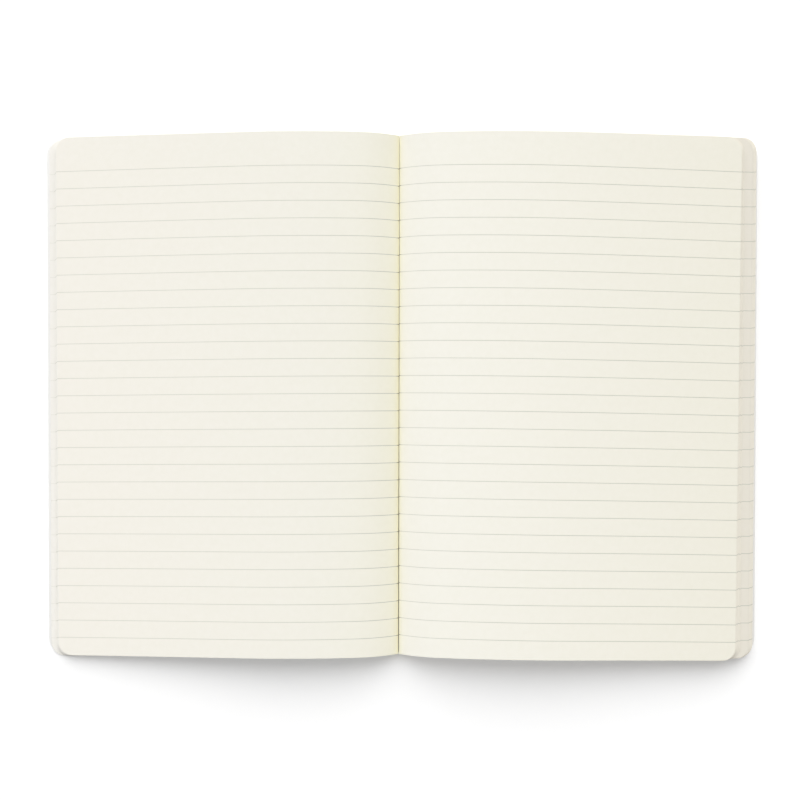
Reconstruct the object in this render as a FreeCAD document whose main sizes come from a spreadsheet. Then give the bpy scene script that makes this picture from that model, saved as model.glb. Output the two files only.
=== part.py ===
import FreeCAD, Part
import math
import os
import Sketcher

os.makedirs("parts", exist_ok=True)
doc = FreeCAD.newDocument("open_notebook")

# Driving sizes, in millimetres and degrees.
# X runs across the spread, Y towards the head of the pages, Z up.
# The origin is under the gutter, half-way down the page, on the surface the book lies on.
SIZES = {
    # Sheets and card are cut to one height, with the same rounded corners.
    "page_height": 210.0,
    "corner_radius": 6.5,
    # The card: two covers, and the strip between their creases.
    "card_thickness": 0.4,
    "cover_width": 140.6,
    "front_crease_offset": 2.6,
    "back_crease_offset": 5.1,
    "front_cover_skew": 0.22,
    "back_cover_skew": 0.37,
    # The lowest sheets stop short of the card's edge by this much.
    "front_foot_setback": 2.9,
    "back_foot_setback": 1.7,
    # The sheets fan out from the page's edge down to this depth. In the back half the ones
    # below that lie square on each other, and in the front half none are left.
    "back_fan_depth": 3.9,
    # The top sheets: how far they reach, how askew they lie, and how high their edges are.
    "front_page_reach": 138.6,
    "back_page_reach": 136.4,
    "front_page_skew": 0.32,
    "back_page_skew": 0.78,
    "front_edge_height": 2.7,
    "back_edge_height": 8.0,
    # The arch of the pages: the gutter's floor, the crests, and how tightly they bend.
    "gutter_height": 3.5,
    "front_crest_reach": 41.0,
    "back_crest_reach": 52.5,
    "front_crest_height": 12.7,
    "back_crest_height": 14.1,
    "front_crest_radius": 190.0,
    "back_crest_radius": 235.0,
    "front_gutter_radius": 33.0,
    "back_gutter_radius": 34.0,
    # Spare room around the sheets for the two solids that are cut to each other.
    "trim_room": 1.0,
}

sheet = doc.addObject("Spreadsheet::Sheet", "Sizes")
for row, (alias, value) in enumerate(SIZES.items(), start=1):
    sheet.set("A%d" % row, alias)
    sheet.set("B%d" % row, str(value))
    sheet.setAlias("B%d" % row, alias)
doc.recompute()

# The two halves of the spread, named by the cover under each, with the sign of X.
SIDES = {"front": -1, "back": 1}
HALF_HEIGHT = "Sizes.page_height / 2"
TRIM_LEVEL = "max(Sizes.front_crest_height; Sizes.back_crest_height) + Sizes.trim_room"
SHOULDER_LEVEL = "Sizes.back_edge_height - Sizes.back_fan_depth"
FAN_START = {"front": "Sizes.card_thickness", "back": SHOULDER_LEVEL}


def worth(expression):
    """The number that an expression gives now."""
    return float(sheet.evalExpression(expression))


def bind(sketch, kind, where, expression):
    """Adds a constraint to a sketch and ties its value to the sheet."""
    index = sketch.addConstraint(Sketcher.Constraint(kind, *where, worth(expression)))
    sketch.setExpression("Constraints[%d]" % index, expression)


def pin(sketch, geometry, end, across, along):
    """Holds a point of a sketch at its distances from the sketch's origin."""
    bind(sketch, "DistanceX", (-1, 1, geometry, end), across)
    bind(sketch, "DistanceY", (-1, 1, geometry, end), along)


def draw_outline(sketch, corners):
    """Draws a closed outline through corners of (across, along, rounded)."""
    points = [FreeCAD.Vector(worth(across), worth(along), 0) for across, along, _ in corners]
    count = len(points)
    for here in range(count):
        sketch.addGeometry(Part.LineSegment(points[here], points[(here + 1) % count]), False)
    for here in range(count):
        before = (here - 1) % count
        sketch.addConstraint(Sketcher.Constraint("Coincident", before, 2, here, 1))
    pinned = []
    for here, (across, along, rounded) in enumerate(corners):
        if rounded:
            # A rounded corner leaves a point where its two lines would meet.
            sketch.fillet((here - 1) % count, 2, worth("Sizes.corner_radius"), True, True)
            pinned.append((sketch.GeometryCount - 1, across, along))
            bind(sketch, "Radius", (sketch.GeometryCount - 2,), "Sizes.corner_radius")
        else:
            pinned.append((here, across, along))
    for geometry, across, along in pinned:
        pin(sketch, geometry, 1, across, along)


def outer_corners(side, reach, skew):
    """Head and tail corners of a leaf that reaches out from the gutter and lies askew."""
    sign = SIDES[side]
    turn = "(%s) * 1 deg" % skew
    corners = []
    for end in (1, -1):
        across = "%d * ((%s) * cos(%s) + %d * %s * sin(%s))" % (
            sign, reach, turn, end, HALF_HEIGHT, turn)
        along = "%d * %s * cos(%s) - (%s) * sin(%s)" % (end, HALF_HEIGHT, turn, reach, turn)
        corners.append((across, along, True))
    return corners


def inner_corners(across):
    """Head and tail corners on a straight line beside the gutter."""
    return [(across, HALF_HEIGHT, False), (across, "-" + HALF_HEIGHT, False)]


def spread_corners(reaches, skews):
    """The outline of both halves, clockwise from the head of the gutter."""
    head, tail = inner_corners("0")
    back_head, back_tail = outer_corners("back", reaches["back"], skews["back"])
    front_head, front_tail = outer_corners("front", reaches["front"], skews["front"])
    return [head, back_head, back_tail, tail, front_tail, front_head]


def cover_reach(side):
    return "Sizes.%s_crease_offset + Sizes.cover_width" % side


def foot_reach(side):
    return "%s - Sizes.%s_foot_setback" % (cover_reach(side), side)


def carried_up(side, foot, top, start, level):
    """A size that is foot at the start and top at the page's edge, carried to a level."""
    climb = "(%s - (%s)) / (Sizes.%s_edge_height - (%s))" % (level, start, side, start)
    return "%s + (%s - (%s)) * %s" % (foot, top, foot, climb)


def make_card(label, corners):
    """A flat piece of card, cut to its outline, lying on the surface."""
    body = doc.addObject("PartDesign::Body", label)
    body.Label = label
    floor = [plane for plane in body.Origin.OriginFeatures if plane.Role == "XY_Plane"][0]
    sketch = body.newObject("Sketcher::SketchObject", label + "_outline")
    sketch.AttachmentSupport = [(floor, "")]
    sketch.MapMode = "FlatFace"
    draw_outline(sketch, corners)
    pad = body.newObject("PartDesign::Pad", label + "_card")
    pad.Profile = sketch
    pad.setExpression("Length", "Sizes.card_thickness")
    sketch.Visibility = False
    body.Tip = pad
    return body


def cover_corners(side):
    """A cover's outline: a straight crease, and two rounded outer corners."""
    crease = "%d * Sizes.%s_crease_offset" % (SIDES[side], side)
    inner_head, inner_tail = inner_corners(crease)
    outer_head, outer_tail = outer_corners(side, cover_reach(side), "Sizes.%s_cover_skew" % side)
    return [inner_head, outer_head, outer_tail, inner_tail]


def spine_corners():
    """The strip between the two creases."""
    front_head, front_tail = inner_corners("-Sizes.front_crease_offset")
    back_head, back_tail = inner_corners("Sizes.back_crease_offset")
    return [front_head, back_head, back_tail, front_tail]


def page_curve(side):
    """Where a page's arcs meet, seen from the tail, with the gutter at the left.

    A tight arc rises from the gutter's floor and runs into the broad arc of the crest,
    and a straight slope leaves that arc for the page's edge.
    """
    crest_radius = worth("Sizes.%s_crest_radius" % side)
    gutter_radius = worth("Sizes.%s_gutter_radius" % side)
    gutter = FreeCAD.Vector(0, worth("Sizes.gutter_height"), 0)
    crest_centre = FreeCAD.Vector(
        worth("Sizes.%s_crest_reach" % side),
        worth("Sizes.%s_crest_height" % side) - crest_radius, 0)
    edge = FreeCAD.Vector(
        worth("Sizes.%s_page_reach" % side), worth("Sizes.%s_edge_height" % side), 0)

    # The tight arc's centre is gutter_radius from the gutter and lies inside the broad arc.
    span = gutter - crest_centre
    inset = crest_radius - gutter_radius
    along = (span.Length ** 2 + inset ** 2 - gutter_radius ** 2) / (2 * span.Length)
    aside = math.sqrt(inset ** 2 - along ** 2)
    towards = FreeCAD.Vector(span).normalize()
    gutter_centre = crest_centre + towards * along + FreeCAD.Vector(towards.y, -towards.x, 0) * aside

    join_angle = math.atan2(gutter_centre.y - crest_centre.y, gutter_centre.x - crest_centre.x)
    start_angle = math.atan2(gutter.y - gutter_centre.y, gutter.x - gutter_centre.x)
    outward = edge - crest_centre
    slope_angle = math.atan2(outward.y, outward.x) + math.acos(crest_radius / outward.Length)
    return {
        "gutter_centre": gutter_centre, "gutter_radius": gutter_radius,
        "crest_centre": crest_centre, "crest_radius": crest_radius,
        "start_angle": start_angle, "join_angle": join_angle, "slope_angle": slope_angle,
        "edge": edge,
    }


def draw_page(sketch, side):
    """Draws one page from the gutter to beyond its edge; gives its first and last pieces."""
    sign = SIDES[side]
    curve = page_curve(side)
    far = cover_reach(side) + " + Sizes.trim_room"

    def placed(point):
        return FreeCAD.Vector(sign * point.x, point.y, 0)

    def arc(centre, radius, low, high):
        if sign < 0:
            low, high = math.pi - high, math.pi - low
        circle = Part.Circle(placed(centre), FreeCAD.Vector(0, 0, 1), radius)
        return sketch.addGeometry(Part.ArcOfCircle(circle, low, high), False)

    leave = curve["crest_centre"] + FreeCAD.Vector(
        math.cos(curve["slope_angle"]), math.sin(curve["slope_angle"]), 0) * curve["crest_radius"]
    slope = (curve["edge"].y - leave.y) / (curve["edge"].x - leave.x)
    far_point = FreeCAD.Vector(worth(far), leave.y + slope * (worth(far) - leave.x), 0)

    rise = arc(curve["gutter_centre"], curve["gutter_radius"],
               curve["join_angle"], curve["start_angle"])
    crest = arc(curve["crest_centre"], curve["crest_radius"],
                curve["slope_angle"], curve["join_angle"])
    fall = sketch.addGeometry(Part.LineSegment(placed(leave), placed(far_point)), False)
    drop = sketch.addGeometry(
        Part.LineSegment(placed(far_point), placed(FreeCAD.Vector(far_point.x, 0, 0))), False)
    edge = sketch.addGeometry(Part.Point(placed(curve["edge"])), True)

    # An arc runs anticlockwise, so its ends change places on the other side.
    inner_end, outer_end = (1, 2) if sign < 0 else (2, 1)
    sketch.addConstraint(Sketcher.Constraint("Tangent", rise, outer_end, crest, inner_end))
    sketch.addConstraint(Sketcher.Constraint("Tangent", crest, outer_end, fall, 1))
    sketch.addConstraint(Sketcher.Constraint("Coincident", fall, 2, drop, 1))
    sketch.addConstraint(Sketcher.Constraint("Vertical", drop))
    sketch.addConstraint(Sketcher.Constraint("PointOnObject", edge, 1, fall))
    bind(sketch, "Radius", (rise,), "Sizes.%s_gutter_radius" % side)
    bind(sketch, "Radius", (crest,), "Sizes.%s_crest_radius" % side)
    pin(sketch, crest, 3, "%d * Sizes.%s_crest_reach" % (sign, side),
        "Sizes.%s_crest_height - Sizes.%s_crest_radius" % (side, side))
    pin(sketch, edge, 1, "%d * Sizes.%s_page_reach" % (sign, side),
        "Sizes.%s_edge_height" % side)
    bind(sketch, "DistanceX", (-1, 1, fall, 2), "%d * (%s)" % (sign, far))
    return (rise, inner_end), drop


def draw_section():
    """The closed section across both arched pages, down to the surface."""
    sketch = doc.addObject("Sketcher::SketchObject", "page_section")
    sketch.Placement = FreeCAD.Placement(
        FreeCAD.Vector(0, 0, 0), FreeCAD.Rotation(FreeCAD.Vector(1, 0, 0), 90))
    (front_rise, front_end), front_drop = draw_page(sketch, "front")
    (back_rise, back_end), back_drop = draw_page(sketch, "back")
    front_foot = sketch.getPoint(front_drop, 2)
    back_foot = sketch.getPoint(back_drop, 2)
    base = sketch.addGeometry(Part.LineSegment(front_foot, back_foot), False)
    sketch.addConstraint(Sketcher.Constraint("Coincident", front_rise, front_end, back_rise, back_end))
    sketch.addConstraint(Sketcher.Constraint("PointOnObject", front_rise, front_end, -2))
    bind(sketch, "DistanceY", (-1, 1, front_rise, front_end), "Sizes.gutter_height")
    sketch.addConstraint(Sketcher.Constraint("Coincident", front_drop, 2, base, 1))
    sketch.addConstraint(Sketcher.Constraint("Coincident", back_drop, 2, base, 2))
    sketch.addConstraint(Sketcher.Constraint("Horizontal", base))
    sketch.addConstraint(Sketcher.Constraint("PointOnObject", base, 1, -1))
    return sketch


def level_outline(name, level, fanned):
    """The outline of the sheets at one height, where they fan out or still lie square."""
    reaches, skews = {}, {}
    for side in SIDES:
        reaches[side] = foot_reach(side)
        if fanned:
            reaches[side] = carried_up(
                side, foot_reach(side), "Sizes.%s_page_reach" % side, FAN_START[side], level)
        skews[side] = carried_up(
            side, "Sizes.%s_cover_skew" % side, "Sizes.%s_page_skew" % side,
            "Sizes.card_thickness", level)
    sketch = doc.addObject("Sketcher::SketchObject", name)
    sketch.setExpression("Placement.Base.z", level)
    draw_outline(sketch, spread_corners(reaches, skews))
    return sketch


def make_page_block():
    """All the sheets, in two arched halves that meet in the gutter.

    The section gives the arch, and it is cut to a solid whose outline draws in towards the
    top sheet, so the edges of the sheets fan out below the page. The lower sheets of the
    back half stand square, up to a shoulder.
    """
    arch = doc.addObject("Part::Extrusion", "page_arch")
    arch.Base = draw_section()
    arch.DirMode = "Normal"
    arch.Solid = True
    arch.Symmetric = True
    arch.setExpression("LengthFwd", "2 * Sizes.page_height")

    fan = doc.addObject("Part::Loft", "sheet_fan")
    fan.Sections = [
        level_outline("foot_outline", "Sizes.card_thickness", False),
        level_outline("shoulder_outline", SHOULDER_LEVEL, True),
        level_outline("trim_outline", TRIM_LEVEL, True),
    ]
    fan.Solid = True
    fan.Ruled = True

    block = doc.addObject("Part::Common", "page_block")
    block.Label = "page_block"
    block.Base = arch
    block.Tool = fan
    return block


pieces = [
    make_card("front_cover", cover_corners("front")),
    make_card("cover_spine", spine_corners()),
    make_card("back_cover", cover_corners("back")),
    make_page_block(),
]
doc.recompute()

for item in doc.Objects:
    if {"Invalid", "Error"} & set(item.State):
        raise RuntimeError("%s could not be made: %s" % (item.Label, item.State))
for piece in pieces:
    if piece.Shape.isNull() or not piece.Shape.isValid():
        raise RuntimeError("%s has no sound shape" % piece.Label)

for piece in pieces:
    piece.Shape.exportStep("parts/%s.step" % piece.Label)
    box = piece.Shape.BoundBox
    print("%s: %d solid, %.1f mm3, %.2f x %.2f x %.2f mm" % (
        piece.Label, len(piece.Shape.Solids), piece.Shape.Volume,
        box.XLength, box.YLength, box.ZLength))
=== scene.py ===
import bpy
import math
import random
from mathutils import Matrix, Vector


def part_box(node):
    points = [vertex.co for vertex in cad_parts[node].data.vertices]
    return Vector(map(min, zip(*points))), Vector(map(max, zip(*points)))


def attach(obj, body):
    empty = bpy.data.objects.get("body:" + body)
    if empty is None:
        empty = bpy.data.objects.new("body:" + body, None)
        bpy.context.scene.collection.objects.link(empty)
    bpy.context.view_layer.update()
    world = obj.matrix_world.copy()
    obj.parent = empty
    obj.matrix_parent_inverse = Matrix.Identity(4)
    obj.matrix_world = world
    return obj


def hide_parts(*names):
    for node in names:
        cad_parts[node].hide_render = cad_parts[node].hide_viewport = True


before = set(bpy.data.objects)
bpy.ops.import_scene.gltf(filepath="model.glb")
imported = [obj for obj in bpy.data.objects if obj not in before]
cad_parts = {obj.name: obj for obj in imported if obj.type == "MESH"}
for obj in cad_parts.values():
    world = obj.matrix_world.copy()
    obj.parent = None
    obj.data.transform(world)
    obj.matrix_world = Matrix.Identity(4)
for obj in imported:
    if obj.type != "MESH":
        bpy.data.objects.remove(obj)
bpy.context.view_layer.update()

# The camera hangs above the open book and looks straight down, as in a catalogue picture.
# The ruling's size in the picture and the arch of the pages set its height and lens.
CAMERA_HEIGHT = 0.500
CAMERA_ACROSS = 0.0004
CAMERA_ALONG = -0.0021
CAMERA_NEAREST = 0.01
PICTURE_PIXELS = 800
PIXELS_PER_METRE_ON_FLOOR = 2449.0
SENSOR_MM = 36.0

camera_data = bpy.data.cameras.new("overhead_camera")
camera_data.sensor_width = SENSOR_MM
camera_data.lens = PIXELS_PER_METRE_ON_FLOOR * CAMERA_HEIGHT * SENSOR_MM / PICTURE_PIXELS
camera_data.clip_start = CAMERA_NEAREST
camera = bpy.data.objects.new("overhead_camera", camera_data)
camera.location = (CAMERA_ACROSS, CAMERA_ALONG, CAMERA_HEIGHT)
bpy.context.scene.collection.objects.link(camera)
bpy.context.scene.camera = camera

# The card cover: two leaves and a spine strip of uncoated board, 0.4 mm thick, die-cut with
# rounded corners and scored at both creases. The knife presses the board's edge down a
# little, so the pale rim around the sheets ends in a thin shaded line.
CARD_FACE = "F8F7F4"
CARD_SHADE = "F1F0ED"
CARD_ROUGHNESS = 0.86
MATT_SPECULAR = 0.25
CARD_FLECK_MM = 1.6
CARD_TOOTH_MM = 0.18
CARD_TOOTH_DEPTH = 0.00003
CARD_TOOTH_STRENGTH = 0.15
CARD_CORNER = 0.0065
CORNER_STEPS = 8
PRESSED_EDGE = 0.00012
PRESSED_STEPS = 2
PRESSED_EDGE_ANGLE = math.radians(60)
CARD_SMOOTH_ANGLE = math.radians(50)
SAME_PLACE = 1e-6
# The covers lie a little askew under the sheets, by these angles in degrees.
COVERS = {
    "front": {"sign": -1, "node": "front_cover", "skew": 0.22},
    "back": {"sign": 1, "node": "back_cover", "skew": 0.37},
}


def linear(code):
    """An sRGB hex colour as Blender's linear values."""
    levels = [int(code[first:first + 2], 16) / 255 for first in (0, 2, 4)]
    return tuple(
        level / 12.92 if level <= 0.04045 else ((level + 0.055) / 1.055) ** 2.4
        for level in levels) + (1.0,)


def add_node(tree, kind, settings=None, **links):
    """Adds a shader node with its settings; links feed its sockets, by name or by _number."""
    node = tree.nodes.new(kind)
    for name, value in (settings or {}).items():
        setattr(node, name, value)
    for name, value in links.items():
        socket = node.inputs[int(name[1:]) if name[0] == "_" else name.replace("_", " ")]
        if isinstance(value, bpy.types.NodeSocket):
            tree.links.new(value, socket)
        else:
            socket.default_value = value
    return node


def new_material(name, roughness, specular):
    """A material with a plain surface shader, ready for its colour and its bump."""
    material = bpy.data.materials.new(name)
    material.use_nodes = True
    shader = material.node_tree.nodes["Principled BSDF"]
    shader.inputs["Roughness"].default_value = roughness
    shader.inputs["Specular IOR Level"].default_value = specular
    return material, material.node_tree, shader


# Uncoated board gives a matt, slightly mottled face with a fine tooth. The tooth is drawn at
# 0.18 mm, coarser than the real one, so that it shows up close.
cover_board, tree, shader = new_material("uncoated_cover_board", CARD_ROUGHNESS, MATT_SPECULAR)
on_card = add_node(tree, "ShaderNodeTexCoord").outputs["Object"]
fleck = add_node(
    tree, "ShaderNodeTexNoise", Vector=on_card, Scale=1000 / CARD_FLECK_MM, Detail=4.0)
tooth = add_node(
    tree, "ShaderNodeTexNoise", Vector=on_card, Scale=1000 / CARD_TOOTH_MM, Detail=2.0)
mottled = add_node(
    tree, "ShaderNodeMix", {"data_type": "RGBA"},
    _0=fleck.outputs["Fac"], _6=linear(CARD_SHADE), _7=linear(CARD_FACE))
bump = add_node(
    tree, "ShaderNodeBump", Height=tooth.outputs["Fac"],
    Strength=CARD_TOOTH_STRENGTH, Distance=CARD_TOOTH_DEPTH)
tree.links.new(mottled.outputs[2], shader.inputs["Base Color"])
tree.links.new(bump.outputs["Normal"], shader.inputs["Normal"])

spine_low, spine_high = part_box("cover_spine")
page_height = spine_high[1] - spine_low[1]
card_top = spine_high[2]


def select_corners(piece, chosen):
    """Selects the vertices of a piece for which chosen is true, and enters edit mode."""
    bpy.ops.object.mode_set(mode="EDIT")
    bpy.ops.mesh.select_mode(type="VERT")
    bpy.ops.mesh.select_all(action="DESELECT")
    bpy.ops.object.mode_set(mode="OBJECT")
    for vertex in piece.data.vertices:
        vertex.select = chosen(vertex.co)
    bpy.ops.object.mode_set(mode="EDIT")


def cut_card(name, low_x, high_x, rounded_x):
    """A flat piece of card at its place, with its corners at rounded_x rounded."""
    bpy.ops.object.select_all(action="DESELECT")
    bpy.ops.mesh.primitive_plane_add(size=1.0, location=((low_x + high_x) / 2, 0, card_top))
    card = bpy.context.active_object
    card.name = name
    card.data.name = name
    card.scale = (high_x - low_x, page_height, 1)
    bpy.ops.object.transform_apply(location=True, rotation=False, scale=True)
    if rounded_x is not None:
        select_corners(card, lambda corner: abs(corner.x - rounded_x) < SAME_PLACE)
        bpy.ops.mesh.bevel(offset=CARD_CORNER, segments=CORNER_STEPS, affect="VERTICES")
        bpy.ops.object.mode_set(mode="OBJECT")
    return card


def thicken_card(card, node, body):
    """Gives a card its thickness and pressed edges, and puts it in the place of its node."""
    bpy.ops.object.select_all(action="DESELECT")
    card.select_set(True)
    bpy.context.view_layer.objects.active = card
    board = card.modifiers.new("board", "SOLIDIFY")
    board.thickness = card_top
    board.offset = -1.0
    bpy.ops.object.modifier_apply(modifier=board.name)
    press = card.modifiers.new("press", "BEVEL")
    press.width = PRESSED_EDGE
    press.segments = PRESSED_STEPS
    press.limit_method = "ANGLE"
    press.angle_limit = PRESSED_EDGE_ANGLE
    bpy.ops.object.modifier_apply(modifier=press.name)
    bpy.ops.object.shade_smooth_by_angle(angle=CARD_SMOOTH_ANGLE)
    card.data.materials.clear()
    card.data.materials.append(cover_board)
    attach(card, body)
    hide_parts(node)


for side, cover in COVERS.items():
    sign = cover["sign"]
    low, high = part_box(cover["node"])
    crease = abs(low[0] if sign > 0 else high[0])
    outer = abs(high[0] if sign > 0 else low[0])
    turn = math.radians(cover["skew"])
    # The node's box holds the card turned askew, so the card itself is cut a little narrower.
    cover["reach"] = (outer - page_height / 2 * math.sin(turn)) / math.cos(turn)
    fore_edge = sign * cover["reach"]
    card = cut_card("%s_card" % side, *sorted((sign * crease, fore_edge)), fore_edge)
    # Its fore-edge is turned and the crease stays straight on the hinge.
    for vertex in card.data.vertices:
        part = (abs(vertex.co.x) - crease) / (cover["reach"] - crease)
        across = crease + part * (cover["reach"] * math.cos(turn) - crease)
        vertex.co.x = sign * (across + part * vertex.co.y * math.sin(turn))
        vertex.co.y -= part * cover["reach"] * math.sin(turn)
    thicken_card(card, cover["node"], cover["node"])

spine = cut_card("spine_card", spine_low[0], spine_high[0], None)
thicken_card(spine, "cover_spine", "sheets")

# The sheets: eighty leaves of cream uncoated paper, ruled in pale grey ink and held at the
# spine. Each leaf rises out of the gutter, bends over and lies on the ones below it, so their
# cut edges fan out under the open page and stand apart under the arch.
SHEET_WIDTH = 0.1410
SHEET_THICKNESS = 0.00006
SHEET_CORNER = 0.0053
SHEET_SMOOTH_ANGLE = math.radians(40)
# The bound margin stands upright in the spine, and the leaves bend over above it.
RISER = 0.0015
GUTTER_HEIGHT = 0.0035
GUTTER_SLIT = 0.00010
GUTTER_SHIFT = 0.00001
# The gutter leans across the book and its slit narrows, by so much per metre up the page.
GUTTER_LEAN = 0.0020
SLIT_NARROWING = 0.00046
# Where a leaf is divided: the fine step, the broad one, and where the fine ones end. The
# page is also divided in rows, so that it and its ruling turn askew evenly.
PLAIN_BENDS = (0.0012, 0.0045, 0.020)
PAGE_BENDS = (0.0006, 0.0022, 0.024)
PAGE_ROW = 0.0105
PAGE_ROWS_EACH_WAY = 9
# A leaf's own step up the stack, as a share of an even one, and the air where two have parted.
LEAST_STEP = 0.7
STEP_SPREAD = 0.6
PARTED_STEP = 1.2
PARTED_CHANCE = 0.08
# How far one leaf lies from the order of the others, in metres and degrees.
REACH_DRIFT = 0.00012
TURN_DRIFT = 0.04
# The air under the lowest leaf, in thicknesses of a leaf, and how much the leaves crowd
# towards the top of the arch.
AIR_UNDER_STACK = 0.5
ARCH_CROWDING = 0.35
# The powers with which skew and droop set in, up the fan and across a leaf.
SKEW_UP_FAN = 3
SKEW_ACROSS = 1.3
DROOP_ACROSS = 1.6
# What differs between the halves. Reaches run from the middle of the gutter and heights from
# the table, both in metres. Skews, droops and tilts are in degrees.
HALVES = {
    "front": {
        "sign": -1, "seed": 11, "leaves": 26, "flyleaves": 2, "flyleaf_reach": 0.0018,
        # The open page: the crest of its arch, its fore-edge, and its bend beside the gutter.
        "crest_reach": 0.0410, "crest_height": 0.0127, "crest_radius": 0.190,
        "page_reach": 0.1386, "edge_height": 0.0027, "gutter_radius": 0.033,
        # The stack: its foot on the card, the part that fans out, and the slipped bundle.
        "crease": 0.0026, "foot_setback": 0.0029, "fan_depth": 0.0023,
        "bundle_level": 0.0, "bundle_reach": (0.0, 0.0),
        # How askew the lowest leaf and the page lie, and how far the others slip past them.
        "foot_skew": 0.25, "page_skew": 0.32, "foot_droop": 0.56, "page_droop": 0.25,
        "slip": 0.00012,
        # The paper's tone, painted light and shade across it and in the gutter, and the
        # ruling's strength and fall.
        "tones": (0.985, 1.0), "under_tint": (1.01, 1.02, 1.05),
        "gutter_light_and_shade": (0.993, 0.993, 0.995), "edge_light_and_shade": (1.022, 1.008, 1.022),
        "gutter_crevice_shade": 0.20, "gutter_bounce_shade": 0.09, "gutter_ink": 1.05, "edge_ink": 0.58,
        "ruling_shift": 0.00026, "ruling_tilt": 0.15,
    },
    "back": {
        "sign": 1, "seed": 29, "leaves": 54, "flyleaves": 1, "flyleaf_reach": 0.0008,
        "crest_reach": 0.0525, "crest_height": 0.0141, "crest_radius": 0.235,
        "page_reach": 0.1364, "edge_height": 0.0080, "gutter_radius": 0.034,
        "crease": 0.0051, "foot_setback": 0.0017, "fan_depth": 0.0039,
        "bundle_level": 0.38, "bundle_reach": (0.26, 0.69),
        "foot_skew": 0.46, "page_skew": 0.78, "foot_droop": 0.50, "page_droop": 0.78,
        "slip": 0.00025,
        # The paper's tone, painted light and shade across it and in the gutter, and the ruling.
        "tones": (0.955, 0.995), "under_tint": (1.012, 0.994, 1.002),
        "gutter_light_and_shade": (1.036, 1.036, 1.050), "edge_light_and_shade": (0.968, 0.958, 0.930),
        "gutter_crevice_shade": 0.20, "gutter_bounce_shade": 0.0, "gutter_ink": 0.56, "edge_ink": 1.0,
        "ruling_shift": 0.0, "ruling_tilt": 0.19,
    },
}
stack_foot = card_top + (1 + AIR_UNDER_STACK) * SHEET_THICKNESS


def page_profile(half):
    """The height of the open page over its distance from the gutter, as a function."""
    crest_x = half["crest_reach"]
    crest_z = half["crest_height"] - half["crest_radius"]
    broad, tight = half["crest_radius"], half["gutter_radius"]
    # The tight arc of the gutter touches the broad arc of the crest from inside.
    span = math.hypot(crest_x, GUTTER_HEIGHT - crest_z)
    inset = broad - tight
    along = (span ** 2 + inset ** 2 - tight ** 2) / (2 * span)
    aside = math.sqrt(inset ** 2 - along ** 2)
    to_x, to_z = -crest_x / span, (GUTTER_HEIGHT - crest_z) / span
    tight_x = crest_x + to_x * along + to_z * aside
    tight_z = crest_z + to_z * along - to_x * aside
    join_x = crest_x + (tight_x - crest_x) * broad / inset
    # The slope to the page's edge leaves the broad arc without a kink.
    out_x, out_z = half["page_reach"] - crest_x, half["edge_height"] - crest_z
    angle = math.atan2(out_z, out_x) + math.acos(broad / math.hypot(out_x, out_z))
    leave_x, leave_z = crest_x + broad * math.cos(angle), crest_z + broad * math.sin(angle)
    fall = (half["edge_height"] - leave_z) / (half["page_reach"] - leave_x)

    def height(reach):
        if reach < join_x:
            return tight_z + math.sqrt(tight ** 2 - (reach - tight_x) ** 2)
        if reach < leave_x:
            return crest_z + math.sqrt(broad ** 2 - (reach - crest_x) ** 2)
        return leave_z + fall * (reach - leave_x)

    return height


def bend_stations(fine_step, broad_step, fine_end):
    """Where a leaf is divided: closely beside the gutter, and wider on the open page."""
    stations = [RISER]
    while stations[-1] < SHEET_WIDTH - SHEET_CORNER:
        stations.append(stations[-1] + (fine_step if stations[-1] < fine_end else broad_step))
    return stations


def flat_leaf(name, across, along):
    """A leaf cut flat, with its fore-edge corners rounded, and divided where it will bend."""
    bpy.ops.object.select_all(action="DESELECT")
    bpy.ops.mesh.primitive_plane_add(size=1.0, location=(SHEET_WIDTH / 2, 0, 0))
    leaf = bpy.context.active_object
    leaf.name = name
    leaf.scale = (SHEET_WIDTH, page_height, 1)
    bpy.ops.object.transform_apply(location=True, rotation=False, scale=True)
    select_corners(leaf, lambda corner: corner.x > SHEET_WIDTH / 2)
    bpy.ops.mesh.bevel(offset=SHEET_CORNER, segments=CORNER_STEPS, affect="VERTICES")
    for station in across:
        bpy.ops.mesh.select_all(action="SELECT")
        bpy.ops.mesh.bisect(plane_co=(station, 0, 0), plane_no=(1, 0, 0))
    for station in along:
        bpy.ops.mesh.select_all(action="SELECT")
        bpy.ops.mesh.bisect(plane_co=(0, station, 0), plane_no=(0, 1, 0))
    bpy.ops.object.mode_set(mode="OBJECT")
    # The sheet's own coordinates carry the ruling: across the sheet and up it, in metres.
    mesh = leaf.data
    for layer in list(mesh.uv_layers):
        mesh.uv_layers.remove(layer)
    ruling = mesh.uv_layers.new(name="ruling")
    for loop in mesh.loops:
        ruling.data[loop.index].uv = mesh.vertices[loop.vertex_index].co.xy
    return leaf


def stack_shares(count, chance):
    """Where each leaf lies between card and page: uneven, and parted now and then."""
    steps = []
    for _ in range(count):
        step = LEAST_STEP + STEP_SPREAD * chance.random()
        steps.append(step + (PARTED_STEP if chance.random() < PARTED_CHANCE else 0))
    steps[0] = 0.0
    total = sum(steps)
    shares, height = [], 0.0
    for step in steps:
        height += step
        shares.append(height / total)
    return shares


def drawn_in(half, share):
    """How far up the fan a leaf lies, and how far it draws in towards the page's edge."""
    # The lower leaves stand square on each other, and only the ones above them fan out. In
    # the back half a bundle has slipped and bares the leaf below it in a broad step.
    shoulder = 1 - half["fan_depth"] / (half["edge_height"] - card_top)
    fanned = max(share - shoulder, 0.0) / (1 - shoulder)
    level = half["bundle_level"]
    below, above = half["bundle_reach"]
    if fanned < level:
        return fanned, below * fanned / level
    return fanned, above + (1 - above) * (fanned - level) / (1 - level)


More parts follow.
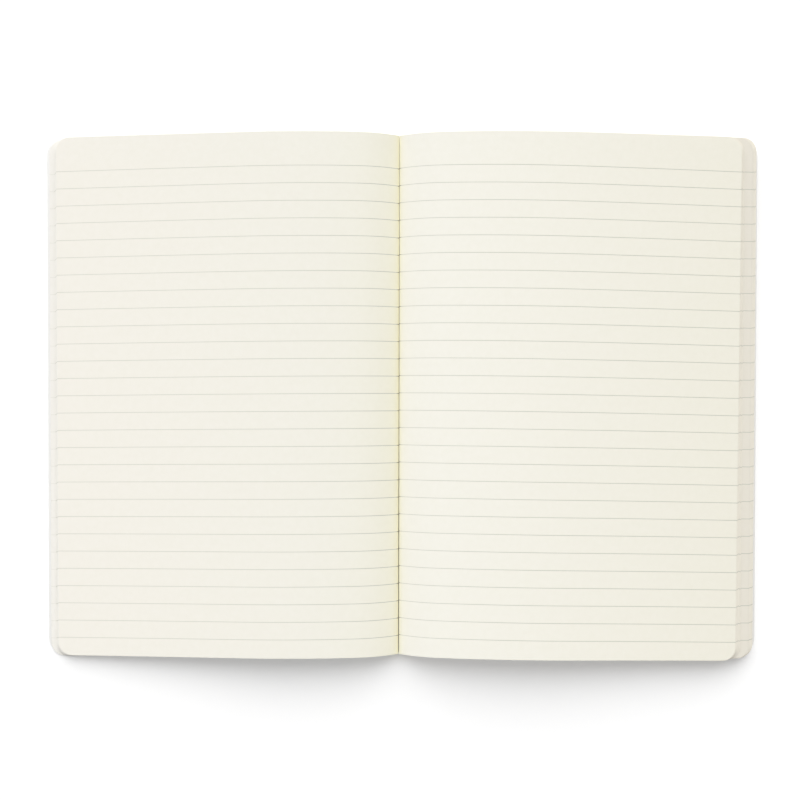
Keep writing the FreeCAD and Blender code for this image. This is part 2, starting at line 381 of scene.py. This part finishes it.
def lay_leaf(leaf, half, share, top_height, drift):
    """Bends a flat leaf to its place in the stack; share is 0 on the card and 1 on top."""
    sign = half["sign"]
    fanned, drawn = drawn_in(half, share)
    foot_reach = half["cover_reach"] - half["foot_setback"]
    reach = foot_reach + (half["page_reach"] - foot_reach) * drawn + drift["reach"]
    skew = half["foot_skew"] + (half["page_skew"] - half["foot_skew"]) * fanned ** SKEW_UP_FAN
    droop = half["foot_droop"] + (half["page_droop"] - half["foot_droop"]) * fanned
    aside = math.sin(math.radians(skew + drift["turn"]))
    sunk = reach * math.sin(math.radians(droop + drift["turn"]))
    for vertex in leaf.data.vertices:
        across, along = vertex.co.x, vertex.co.y
        root = half["crease"] * (1 - share) + GUTTER_SLIT - SLIT_NARROWING * along
        shift = GUTTER_SHIFT + GUTTER_LEAN * along
        if across < RISER - SAME_PLACE:
            vertex.co = (sign * root + shift, along, stack_foot)
            continue
        part = min(max((across - RISER) / (SHEET_WIDTH - RISER), 0.0), 1.0)
        # Leaves crowd towards the top of the arch and lie evenly at their edges.
        lift = share ** (1 - ARCH_CROWDING * math.sin(math.pi * part))
        rise = top_height(part * half["page_reach"]) - stack_foot
        outward = root + (reach - root) * part + along * aside * part ** SKEW_ACROSS
        down = sunk * part ** DROOP_ACROSS - drift["slip"] * part
        vertex.co = (
            sign * outward + shift * (1 - part), along - down, stack_foot + lift * rise)
    leaf.data.update()


# Uncoated cream stock is matt and faintly mottled. Its fibre is drawn at 0.12 mm, coarser than
# the real one, so that it shows up close. The ruling is a thin grey line every 7 mm, 28 to the
# page, printed a hair askew and not equally strong all over, and fainter on the flyleaves.
PAPER_FACE = "F5F3E9"
PAPER_SHADE = "F1EFE3"
PAPER_ROUGHNESS = 0.82
FORMATION_MM = 2.2
FIBRE_MM = 0.12
FIBRE_DEPTH = 0.00002
FIBRE_STRENGTH = 0.12
RULING_INK = "C6C6B9"
RULING_PITCH = 0.007
RULING_LINES = 28
FIRST_LINE = 0.0918
LINE_WIDTH = 0.00026
RULING_TILT_ACROSS = 1.6
FLYLEAF_RULING = 0.35
# In the gutter the ruling of all the leaves runs together to a row of dark dots.
POOLED_INK = "80724C"
INK_POOL = 1.6
POOL_START = 1.1
# How far from the gutter its dots, its painted dark shade, its painted warm shade and the
# change of ink reach.
POOL_REACH = 0.0004
CREVICE_SHADE_REACH = 0.0010
BOUNCE_SHADE_REACH = 0.012
INK_REACH = 0.038
# What the painted dark and warm shades of the gutter take from red, green and blue, and the
# painted shadow on the bared leaf.
CREVICE_SHADE_COLOUR = (0.25, 0.33, 1.0)
BOUNCE_SHADE_COLOUR = (0.0, 0.12, 1.0)
BARED_LEAF_PAINTED_SHADE = 0.93

ruled_paper, tree, shader = new_material("cream_ruled_paper", PAPER_ROUGHNESS, MATT_SPECULAR)
on_paper = add_node(tree, "ShaderNodeTexCoord").outputs["Object"]
formation = add_node(
    tree, "ShaderNodeTexNoise", Vector=on_paper, Scale=1000 / FORMATION_MM, Detail=3.0)
fibre = add_node(
    tree, "ShaderNodeTexNoise", Vector=on_paper, Scale=1000 / FIBRE_MM, Detail=2.0)
mottled = add_node(
    tree, "ShaderNodeMix", {"data_type": "RGBA"},
    _0=formation.outputs["Fac"], _6=linear(PAPER_SHADE), _7=linear(PAPER_FACE))
# The leaf's tone also carries the light and shade painted on the paper.
tone_and_painted_light = add_node(tree, "ShaderNodeAttribute", {"attribute_name": "tone_and_painted_light"})
toned_and_shaded = add_node(
    tree, "ShaderNodeMix", {"data_type": "RGBA", "blend_type": "MULTIPLY"},
    _0=1.0, _6=mottled.outputs[2], _7=tone_and_painted_light.outputs["Color"])
# The nearest line up the sheet, counted from the first, and how far off it lies in pitches.
on_sheet = add_node(tree, "ShaderNodeUVMap", {"uv_map": "ruling"}).outputs["UV"]
up_sheet = add_node(tree, "ShaderNodeSeparateXYZ", Vector=on_sheet).outputs["Y"]
from_first = add_node(
    tree, "ShaderNodeMath", {"operation": "SUBTRACT"}, _0=FIRST_LINE, _1=up_sheet).outputs[0]
line_count = add_node(
    tree, "ShaderNodeMath", {"operation": "DIVIDE"}, _0=from_first, _1=RULING_PITCH).outputs[0]
nearest = add_node(tree, "ShaderNodeMath", {"operation": "ROUND"}, _0=line_count).outputs[0]
line_number = add_node(
    tree, "ShaderNodeClamp", Value=nearest, Min=0.0, Max=RULING_LINES - 1.0).outputs[0]
off_line = add_node(
    tree, "ShaderNodeMath", {"operation": "SUBTRACT"}, _0=line_count, _1=line_number).outputs[0]
distance = add_node(tree, "ShaderNodeMath", {"operation": "ABSOLUTE"}, _0=off_line).outputs[0]
line = add_node(
    tree, "ShaderNodeMath", {"operation": "LESS_THAN"},
    _0=distance, _1=LINE_WIDTH / 2 / RULING_PITCH).outputs[0]
ruled = add_node(tree, "ShaderNodeAttribute", {"attribute_name": "ruled"}).outputs["Fac"]
ink = add_node(
    tree, "ShaderNodeMath", {"operation": "MULTIPLY"}, _0=line, _1=ruled).outputs[0]
inked = add_node(
    tree, "ShaderNodeMix", {"data_type": "RGBA"},
    _0=ink, _6=toned_and_shaded.outputs[2], _7=linear(RULING_INK))
pooled = add_node(
    tree, "ShaderNodeMath", {"operation": "SUBTRACT", "use_clamp": True},
    _0=ink, _1=POOL_START).outputs[0]
dotted = add_node(
    tree, "ShaderNodeMix", {"data_type": "RGBA", "blend_type": "MULTIPLY"},
    _0=pooled, _6=inked.outputs[2], _7=linear(POOLED_INK))
bump = add_node(
    tree, "ShaderNodeBump", Height=fibre.outputs["Fac"],
    Strength=FIBRE_STRENGTH, Distance=FIBRE_DEPTH)
tree.links.new(dotted.outputs[2], shader.inputs["Base Color"])
tree.links.new(bump.outputs["Normal"], shader.inputs["Normal"])


def mark_leaf(leaf, half, paper, printed):
    """Writes into a flat leaf its paper tone with the light and shade painted on it, and how
    strongly its ruling is printed.
    """
    # A new attribute moves the earlier ones in memory, so each is filled before the next.
    reaches = [max(vertex.co.x - RISER, 0.0) for vertex in leaf.data.vertices]
    tones = leaf.data.attributes.new("tone_and_painted_light", "FLOAT_COLOR", "POINT")
    for number, reach in enumerate(reaches):
        # Painted shade darkens and warms the paper by the gutter; painted light and shade
        # change it towards its fore-edge.
        crevice_shade = half["gutter_crevice_shade"] * math.exp(-reach / CREVICE_SHADE_REACH)
        bounce_shade = half["gutter_bounce_shade"] * math.exp(-reach / BOUNCE_SHADE_REACH)
        part = reach / SHEET_WIDTH
        colour = [
            tone * (start + (end - start) * part) * (1 - crevice_shaded * crevice_shade - bounce_shaded * bounce_shade)
            for tone, start, end, crevice_shaded, bounce_shaded in zip(
                paper, half["gutter_light_and_shade"], half["edge_light_and_shade"], CREVICE_SHADE_COLOUR, BOUNCE_SHADE_COLOUR)]
        tones.data[number].color = (*colour, 1.0)
    marks = leaf.data.attributes.new("ruled", "FLOAT", "POINT")
    for number, reach in enumerate(reaches):
        nearby = math.exp(-reach / INK_REACH)
        strength = half["edge_ink"] + (half["gutter_ink"] - half["edge_ink"]) * nearby
        pool = INK_POOL * math.exp(-reach / POOL_REACH)
        marks.data[number].value = printed * (strength + pool)
    fall = half["page_reach"] * math.sin(math.radians(half["ruling_tilt"]))
    for corner in leaf.data.uv_layers["ruling"].data:
        across = corner.uv.x / SHEET_WIDTH
        corner.uv.y += half["ruling_shift"] + fall * across ** RULING_TILT_ACROSS


def bind_leaves(leaves, name):
    """Joins leaves into one piece and gives the paper its thickness, downwards."""
    bpy.ops.object.select_all(action="DESELECT")
    for leaf in leaves:
        leaf.select_set(True)
    bpy.context.view_layer.objects.active = leaves[0]
    if len(leaves) > 1:
        bpy.ops.object.join()
    bound = bpy.context.active_object
    bound.name = name
    bound.data.name = name
    paper = bound.modifiers.new("paper", "SOLIDIFY")
    paper.thickness = SHEET_THICKNESS
    paper.offset = -1.0
    bpy.ops.object.modifier_apply(modifier=paper.name)
    bpy.ops.object.shade_smooth_by_angle(angle=SHEET_SMOOTH_ANGLE)
    bound.data.materials.clear()
    bound.data.materials.append(ruled_paper)
    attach(bound, "sheets")
    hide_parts("page_block")


# One plain leaf and one finely divided page are cut, and every leaf of the book is a copy.
rows_up_page = [
    row * PAGE_ROW for row in range(-PAGE_ROWS_EACH_WAY, PAGE_ROWS_EACH_WAY + 1)]
plain_master = flat_leaf("plain_master", bend_stations(*PLAIN_BENDS), [])
page_master = flat_leaf("page_master", bend_stations(*PAGE_BENDS), rows_up_page)

for side, half in HALVES.items():
    chance = random.Random(half["seed"])
    half["cover_reach"] = COVERS[side]["reach"]
    top_height = page_profile(half)
    shares = stack_shares(half["leaves"], chance)
    leaves = []
    for number, share in enumerate(shares):
        on_top = number == half["leaves"] - 1
        flyleaf = number < half["flyleaves"]
        master = page_master if on_top else plain_master
        leaf = bpy.data.objects.new("%s_leaf_%02d" % (side, number), master.data.copy())
        bpy.context.scene.collection.objects.link(leaf)
        loose = 0.0 if on_top else 1.0
        drift = {
            "reach": loose * chance.uniform(-REACH_DRIFT, REACH_DRIFT)
            + half["flyleaf_reach"] * flyleaf,
            "turn": loose * chance.uniform(-TURN_DRIFT, TURN_DRIFT),
            "slip": loose * chance.uniform(-half["slip"], half["slip"]),
        }
        paper = (1.0, 1.0, 1.0)
        if not on_top:
            tone = chance.uniform(*half["tones"])
            fanned, fanned_above = (
                drawn_in(half, place)[0] for place in (share, shares[number + 1]))
            # The leaf that the slipped bundle bares is darkened: painted shadow of the bundle's
            # edge above it.
            if fanned < half["bundle_level"] <= fanned_above:
                tone *= BARED_LEAF_PAINTED_SHADE
            paper = [tone * colour for colour in half["under_tint"]]
        mark_leaf(leaf, half, paper, FLYLEAF_RULING if flyleaf else 1.0)
        lay_leaf(leaf, half, share, top_height, drift)
        if half["sign"] < 0:
            leaf.data.flip_normals()
        leaves.append(leaf)
    bind_leaves(leaves[:-1], "%s_sheets" % side)
    bind_leaves(leaves[-1:], "%s_page" % side)

for master in (plain_master, page_master):
    bpy.data.objects.remove(master)

# The studio: a matt white sweep under the book, and one broad soft light from beyond the head
# of the pages, so a soft shadow falls below the tail of the book only. The camera sees the
# sweep as pure white, and the book is lit by its real, slightly darker face.
FLOOR_SIDE = 20.0
FLOOR_FACE = "F4F4F4"
FLOOR_SEEN = "FFFFFF"
FLOOR_ROUGHNESS = 0.9
FLOOR_GLOW = 0.08
WHITE_LIGHT = (1, 1, 1, 1)
KEY_STRENGTH = 3.09
KEY_SPREAD = math.radians(78.0)
KEY_LEAN = math.radians(57.0)
KEY_TURN = math.radians(2.5)
AIR_LIGHT = 0.46

bpy.ops.object.select_all(action="DESELECT")
bpy.ops.mesh.primitive_plane_add(size=FLOOR_SIDE, location=(0, 0, 0))
floor = bpy.context.active_object
floor.name = "floor"
floor_paint, tree, shader = new_material("white_sweep", FLOOR_ROUGHNESS, 0.0)
seen = add_node(tree, "ShaderNodeLightPath").outputs["Is Camera Ray"]
sweep = add_node(
    tree, "ShaderNodeMix", {"data_type": "RGBA"},
    _0=seen, _6=linear(FLOOR_FACE), _7=linear(FLOOR_SEEN))
tree.links.new(sweep.outputs[2], shader.inputs["Base Color"])
glow = add_node(tree, "ShaderNodeMath", {"operation": "MULTIPLY"}, _0=seen, _1=FLOOR_GLOW)
tree.links.new(glow.outputs[0], shader.inputs["Emission Strength"])
shader.inputs["Emission Color"].default_value = WHITE_LIGHT
floor.data.materials.append(floor_paint)

key_data = bpy.data.lights.new("key_light", "SUN")
key_data.energy = KEY_STRENGTH
key_data.angle = KEY_SPREAD
key = bpy.data.objects.new("key_light", key_data)
key.rotation_euler = (-KEY_LEAN, 0, KEY_TURN)
bpy.context.scene.collection.objects.link(key)

world = bpy.data.worlds.new("studio_air")
world.use_nodes = True
tree = world.node_tree
seen = add_node(tree, "ShaderNodeLightPath").outputs["Is Camera Ray"]
air = add_node(tree, "ShaderNodeMapRange", Value=seen, To_Min=AIR_LIGHT, To_Max=1.0)
tree.links.new(air.outputs[0], tree.nodes["Background"].inputs["Strength"])
tree.nodes["Background"].inputs["Color"].default_value = WHITE_LIGHT
bpy.context.scene.world = world
bpy.context.scene.view_settings.view_transform = "Standard"
